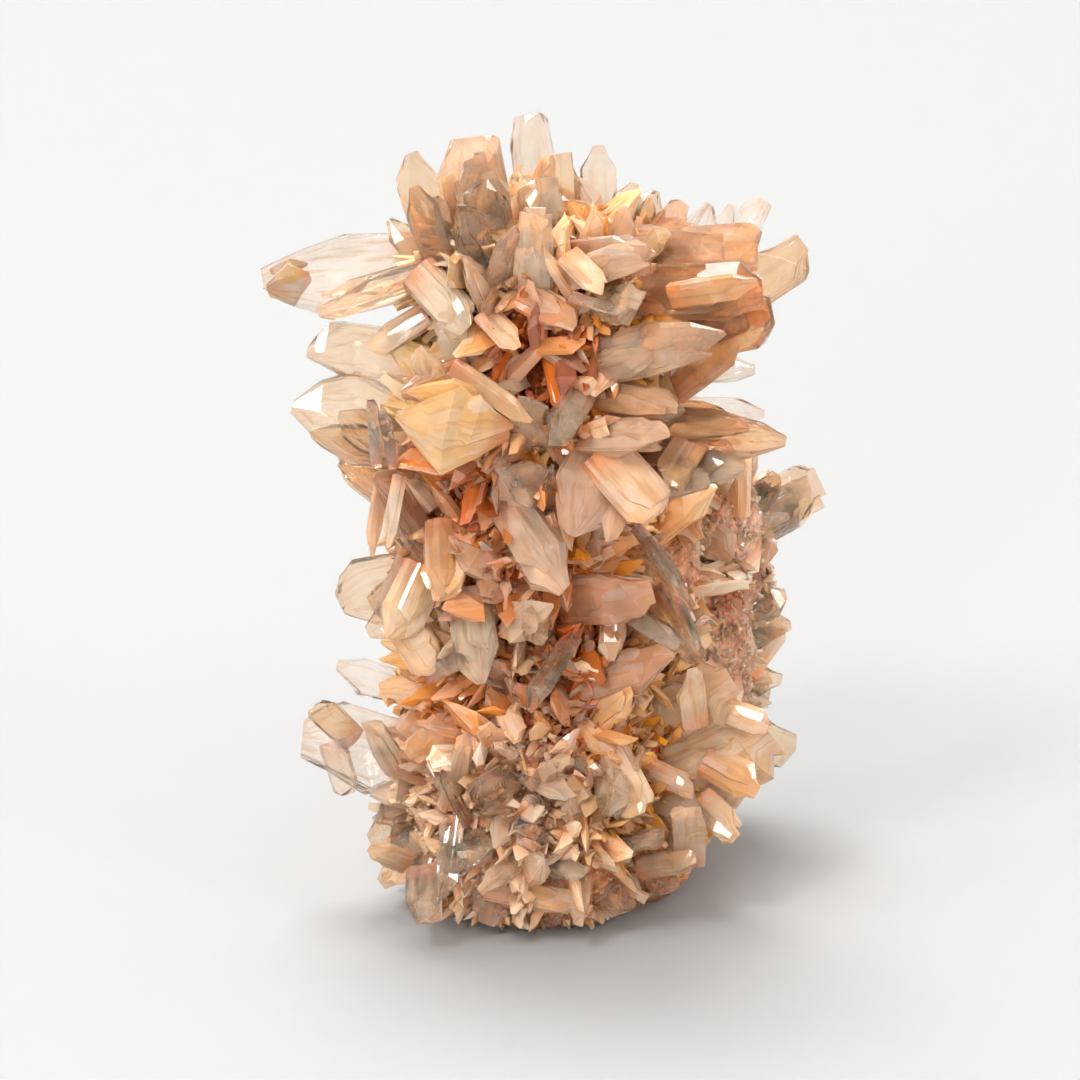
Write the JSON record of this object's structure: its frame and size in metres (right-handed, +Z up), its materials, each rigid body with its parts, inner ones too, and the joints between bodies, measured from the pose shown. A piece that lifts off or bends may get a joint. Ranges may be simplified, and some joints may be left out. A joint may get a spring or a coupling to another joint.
{
  "type": "creedite crystal cluster",
  "caption": "Upright hand specimen of intergrown translucent orange bladed crystals, with a flared crown, a narrow waist, a lobe behind and a small flat foot to stand on.",
  "frame": {"origin": "centre of the bounding box's bottom face, on the surface that the specimen stands on", "axes": "+Z up, from the foot to the crown; -Y is the front, and the long clear blade points to -X, with the lobe behind at +X and +Y"},
  "size_m": [0.0456, 0.0392, 0.0651],
  "materials": {
    "creedite": "translucent crystal with a glassy lustre, peach to orange, clearer at the tips and iron-stained in the recesses"
  },
  "bodies": {
    "root": {"creedite_cluster": "creedite"}
  },
  "joints": []
}
